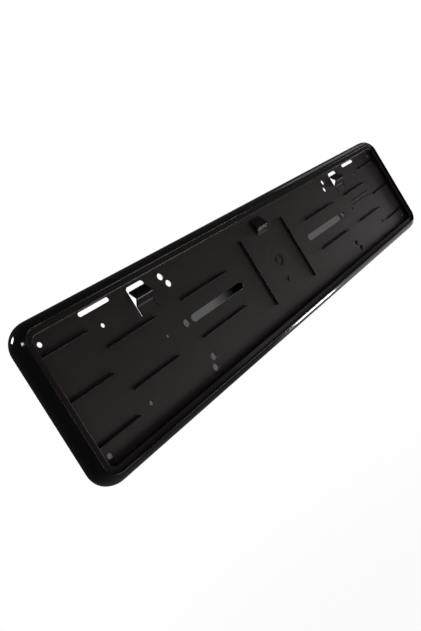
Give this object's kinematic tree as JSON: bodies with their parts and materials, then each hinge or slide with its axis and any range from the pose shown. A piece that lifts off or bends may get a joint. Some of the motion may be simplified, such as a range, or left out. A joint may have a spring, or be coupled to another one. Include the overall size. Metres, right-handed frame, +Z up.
{
  "type": "number plate holder",
  "caption": "Shallow moulded tray with a rounded bead rim, a ledge that seats a long number plate, and a ribbed panel with screw slots and spring tongues.",
  "frame": {"origin": "middle of the panel's back face, centre of the two screw slots", "axes": "+X along the holder's length to the viewer's right, +Z up, the front and its plate seat face -Y"},
  "size_m": [0.5368, 0.0142, 0.1288],
  "materials": {
    "black_plastic": "black, polished rim and fine matt grain on the panel"
  },
  "bodies": {
    "root": {"plate_holder": "black_plastic"}
  },
  "joints": []
}
